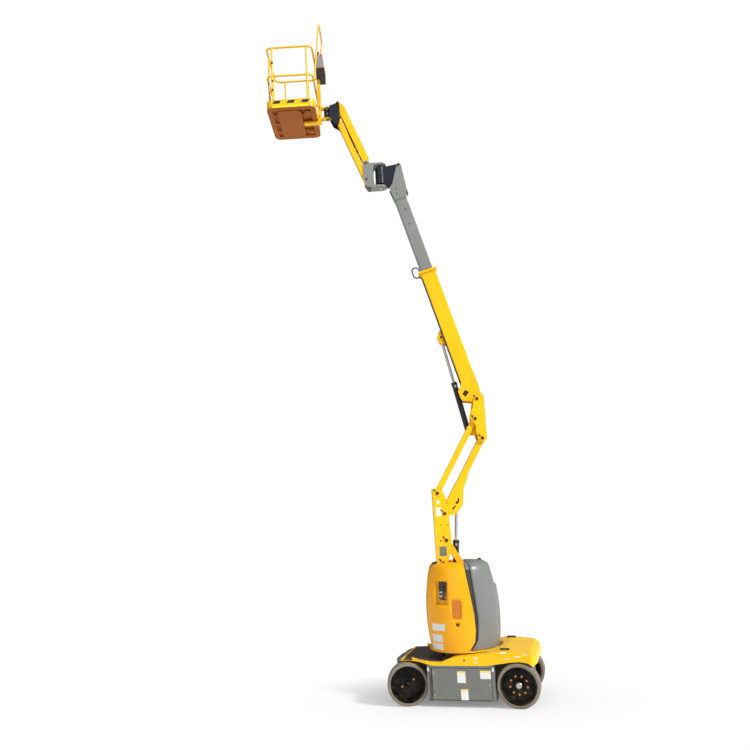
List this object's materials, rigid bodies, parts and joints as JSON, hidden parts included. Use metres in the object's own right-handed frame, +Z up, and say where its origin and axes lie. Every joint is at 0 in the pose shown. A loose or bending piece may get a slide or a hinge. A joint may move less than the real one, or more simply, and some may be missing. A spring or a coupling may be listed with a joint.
{
  "type": "articulating boom lift",
  "caption": "Self-propelled articulating boom lift: folding riser, telescopic boom, swinging jib and a guarded work platform.",
  "frame": {"origin": "on the ground under the turret's slewing axis, half way between the axles", "axes": "+X from the driven axle to the steered axle, +Y to the machine's left, +Z up; the turret is parked slewed 14.4 degrees to the left"},
  "size_m": [3.8667, 1.8178, 11.249],
  "materials": {
    "yellow_paint": "gloss enamel",
    "deck_yellow": "gloss enamel",
    "grey_paint": "satin enamel",
    "dark_paint": "satin black enamel",
    "rim_black": "satin black enamel",
    "tyre_rubber": "non-marking solid rubber",
    "rod_chrome": "polished",
    "cowl_yellow": "moulded gloss",
    "casting_grey": "painted casting",
    "bearing_steel": "oiled",
    "battery_case": "matte",
    "floor_paint": "worn enamel",
    "console_grey": "satin enamel",
    "console_black": "matte",
    "hose_black": "ribbed rubber"
  },
  "bodies": {
    "chassis": {"chassis_frame": "grey_paint", "deck_cover": "deck_yellow", "slewing_ring": "bearing_steel", "battery_packs": "battery_case", "deck_bearers": "grey_paint", "battery_trays": "grey_paint", "door_posts": "grey_paint", "kingpin_forks": "grey_paint", "drive_housings": "dark_paint"},
    "left_door": {"battery_door_left": "grey_paint"},
    "right_door": {"battery_door_right": "grey_paint"},
    "front_left_steer": {"front_left_knuckle": "dark_paint"},
    "front_right_steer": {"front_right_knuckle": "dark_paint"},
    "front_left_wheel": {"front_left_tyre": "tyre_rubber", "front_left_rim": "rim_black"},
    "front_right_wheel": {"front_right_tyre": "tyre_rubber", "front_right_rim": "rim_black"},
    "rear_left_wheel": {"rear_left_tyre": "tyre_rubber", "rear_left_rim": "rim_black"},
    "rear_right_wheel": {"rear_right_tyre": "tyre_rubber", "rear_right_rim": "rim_black"},
    "turret": {"turntable": "dark_paint", "counterweight": "casting_grey", "cowl_left": "cowl_yellow", "cowl_right": "cowl_yellow"},
    "lower_arm": {"lower_arm": "yellow_paint"},
    "lower_link": {"lower_link": "yellow_paint"},
    "riser_post": {"riser_post": "yellow_paint"},
    "upper_arm": {"upper_arm": "yellow_paint"},
    "upper_link": {"upper_link": "yellow_paint"},
    "riser_head": {"riser_head": "yellow_paint"},
    "riser_barrel": {"riser_barrel": "dark_paint"},
    "riser_rod": {"riser_rod": "rod_chrome"},
    "boom_outer": {"boom_outer": "yellow_paint", "boom_hose": "hose_black"},
    "boom_inner": {"boom_inner": "grey_paint"},
    "boom_barrel": {"boom_barrel": "dark_paint"},
    "boom_rod": {"boom_rod": "rod_chrome"},
    "swing_knuckle": {"swing_knuckle": "dark_paint"},
    "jib_base": {"jib_base": "grey_paint"},
    "jib_lower_link": {"jib_lower_link": "yellow_paint"},
    "jib_upper_link": {"jib_upper_link": "yellow_paint"},
    "jib_end": {"jib_end": "dark_paint"},
    "jib_barrel": {"jib_barrel": "dark_paint"},
    "jib_rod": {"jib_rod": "rod_chrome"},
    "platform": {"platform_mount": "yellow_paint", "platform_floor": "floor_paint", "toe_boards": "yellow_paint", "guard_rails": "yellow_paint", "console_case": "console_black", "control_console": "console_grey"},
    "entry_bar": {"entry_bar": "yellow_paint"}
  },
  "joints": [
    {"name": "turret_slew", "type": "hinge", "parent": "chassis", "child": "turret", "pos_m": [0, 0, 0.722], "axis": [0, 0, 1], "range_deg": [-191.9, 163.1]},
    {"name": "front_left_steering", "type": "hinge", "parent": "chassis", "child": "front_left_steer", "pos_m": [0.825, 0.33, 0.3], "axis": [0, 0, 1], "range_deg": [-52, 24]},
    {"name": "front_right_steering", "type": "hinge", "parent": "chassis", "child": "front_right_steer", "pos_m": [0.825, -0.33, 0.3], "axis": [0, 0, 1], "range_deg": [-52.05, 24.05]},
    {"name": "front_left_roll", "type": "hinge", "parent": "front_left_steer", "child": "front_left_wheel", "pos_m": [0.78266, 0.4998, 0.3], "axis": [-0.2419, 0.9703, 0], "continuous": true},
    {"name": "rear_left_roll", "type": "hinge", "parent": "chassis", "child": "rear_left_wheel", "pos_m": [-0.825, 0.505, 0.3], "axis": [0, 1, 0], "continuous": true},
    {"name": "left_door_swing", "type": "hinge", "parent": "chassis", "child": "left_door", "pos_m": [0.415, 0.586, 0.3], "axis": [0, 0, -1], "range_deg": [0, 100]},
    {"name": "front_right_roll", "type": "hinge", "parent": "front_right_steer", "child": "front_right_wheel", "pos_m": [0.86734, -0.4998, 0.3], "axis": [-0.2419, 0.9703, 0], "continuous": true},
    {"name": "rear_right_roll", "type": "hinge", "parent": "chassis", "child": "rear_right_wheel", "pos_m": [-0.825, -0.505, 0.3], "axis": [0, 1, 0], "continuous": true},
    {"name": "right_door_swing", "type": "hinge", "parent": "chassis", "child": "right_door", "pos_m": [0.415, -0.586, 0.3], "axis": [0, 0, 1], "range_deg": [0, 100]},
    {"name": "riser_lift", "type": "hinge", "parent": "turret", "child": "lower_arm", "pos_m": [-0.45441, -0.11667, 1.17154], "axis": [0.2487, -0.9686, 0], "range_deg": [-56, 0]},
    {"name": "lower_link_pivot", "type": "hinge", "parent": "turret", "child": "lower_link", "pos_m": [-0.38371, -0.09852, 0.83754], "axis": [0.2487, -0.9686, 0], "range_deg": [-56.05, 0.05]},
    {"name": "post_level", "type": "hinge", "parent": "lower_arm", "child": "riser_post", "pos_m": [0.16563, 0.04253, 2.303], "axis": [0.2487, -0.9686, 0], "range_deg": [-0.05, 56.05]},
    {"name": "upper_arm_pivot", "type": "hinge", "parent": "riser_post", "child": "upper_arm", "pos_m": [0.1666, 0.04278, 2.706], "axis": [0.2487, -0.9686, 0], "range_deg": [-0.05, 56.05]},
    {"name": "upper_link_pivot", "type": "hinge", "parent": "riser_post", "child": "upper_link", "pos_m": [0.25571, 0.06565, 3.018], "axis": [0.2487, -0.9686, 0], "range_deg": [-0.05, 56.05]},
    {"name": "head_level", "type": "hinge", "parent": "upper_arm", "child": "riser_head", "pos_m": [-0.48176, -0.1237, 3.83788], "axis": [0.2487, -0.9686, 0], "range_deg": [-56.05, 0.05]},
    {"name": "riser_barrel_pivot", "type": "hinge", "parent": "lower_link", "child": "riser_barrel", "pos_m": [0.06102, 0.01567, 1.65], "axis": [0.2487, -0.9686, 0], "range_deg": [-0.05, 47.37]},
    {"name": "riser_rod_slide", "type": "slide", "parent": "riser_barrel", "child": "riser_rod", "axis": [-0.0749, -0.0192, 0.997], "range_m": [-0.52999, 0.0005]},
    {"name": "boom_raise", "type": "hinge", "parent": "riser_head", "child": "boom_outer", "pos_m": [-0.44361, -0.1139, 4.465], "axis": [0.2487, -0.9686, 0], "range_deg": [-74.2, 0.8]},
    {"name": "boom_barrel_pivot", "type": "hinge", "parent": "riser_head", "child": "boom_barrel", "pos_m": [-0.29348, -0.07535, 3.95], "axis": [0.2487, -0.9686, 0], "range_deg": [-59.58, 0.69]},
    {"name": "boom_rod_slide", "type": "slide", "parent": "boom_barrel", "child": "boom_rod", "axis": [0.202, 0.0519, 0.978], "range_m": [-0.55859, 0.00652]},
    {"name": "telescope", "type": "slide", "parent": "boom_outer", "child": "boom_inner", "axis": [0.2637, 0.0677, 0.9622], "range_m": [-1.3, 0.02]},
    {"name": "knuckle_level", "type": "hinge", "parent": "boom_inner", "child": "swing_knuckle", "pos_m": [0.53841, 0.13824, 8.57316], "axis": [0.2487, -0.9686, 0], "range_deg": [-0.85, 74.25]},
    {"name": "jib_swing", "type": "hinge", "parent": "swing_knuckle", "child": "jib_base", "pos_m": [0.84461, 0.21686, 8.262], "axis": [0, 0, 1], "range_deg": [-55, 55]},
    {"name": "jib_raise", "type": "hinge", "parent": "jib_base", "child": "jib_lower_link", "pos_m": [1.07125, 0.27505, 8.338], "axis": [0.2487, -0.9686, 0], "range_deg": [-139.3, 0.7]},
    {"name": "jib_upper_link_pivot", "type": "hinge", "parent": "jib_base", "child": "jib_upper_link", "pos_m": [1.07125, 0.27505, 8.633], "axis": [0.2487, -0.9686, 0], "range_deg": [-139.35, 0.75]},
    {"name": "jib_end_level", "type": "hinge", "parent": "jib_lower_link", "child": "jib_end", "pos_m": [1.49408, 0.38361, 9.49327], "axis": [0.2487, -0.9686, 0], "range_deg": [-0.75, 139.35]},
    {"name": "jib_barrel_pivot", "type": "hinge", "parent": "jib_end", "child": "jib_barrel", "pos_m": [1.49408, 0.38361, 9.49327], "axis": [0.2487, -0.9686, 0], "range_deg": [-136.96, 0.74]},
    {"name": "jib_rod_slide", "type": "slide", "parent": "jib_barrel", "child": "jib_rod", "axis": [-0.4383, -0.1125, -0.8918], "range_m": [-0.00327, 0.55138]},
    {"name": "platform_turn", "type": "hinge", "parent": "jib_end", "child": "platform", "pos_m": [1.6679, 0.42824, 9.652], "axis": [0, 0, 1], "range_deg": [-70, 70]},
    {"name": "entry_bar_lift", "type": "slide", "parent": "platform", "child": "entry_bar", "axis": [0, 0, 1], "range_m": [0, 0.38]}
  ],
  "couplings": [
    {"joint": "front_right_steering", "follows": "front_left_steering", "ratio": 1},
    {"joint": "lower_link_pivot", "follows": "riser_lift", "ratio": 1},
    {"joint": "post_level", "follows": "riser_lift", "ratio": -1},
    {"joint": "upper_arm_pivot", "follows": "riser_lift", "ratio": -1},
    {"joint": "upper_link_pivot", "follows": "riser_lift", "ratio": -1},
    {"joint": "head_level", "follows": "riser_lift", "ratio": 1},
    {"joint": "riser_barrel_pivot", "follows": "riser_lift", "ratio": -0.84494},
    {"joint": "riser_rod_slide", "follows": "riser_lift", "m_per_rad": 0.54174},
    {"joint": "boom_barrel_pivot", "follows": "boom_raise", "ratio": 0.80229},
    {"joint": "boom_rod_slide", "follows": "boom_raise", "m_per_rad": 0.43094},
    {"joint": "knuckle_level", "follows": "boom_raise", "ratio": -1},
    {"joint": "jib_upper_link_pivot", "follows": "jib_raise", "ratio": 1},
    {"joint": "jib_end_level", "follows": "jib_raise", "ratio": -1},
    {"joint": "jib_barrel_pivot", "follows": "jib_raise", "ratio": 0.98286},
    {"joint": "jib_rod_slide", "follows": "jib_raise", "m_per_rad": -0.22658}
  ]
}
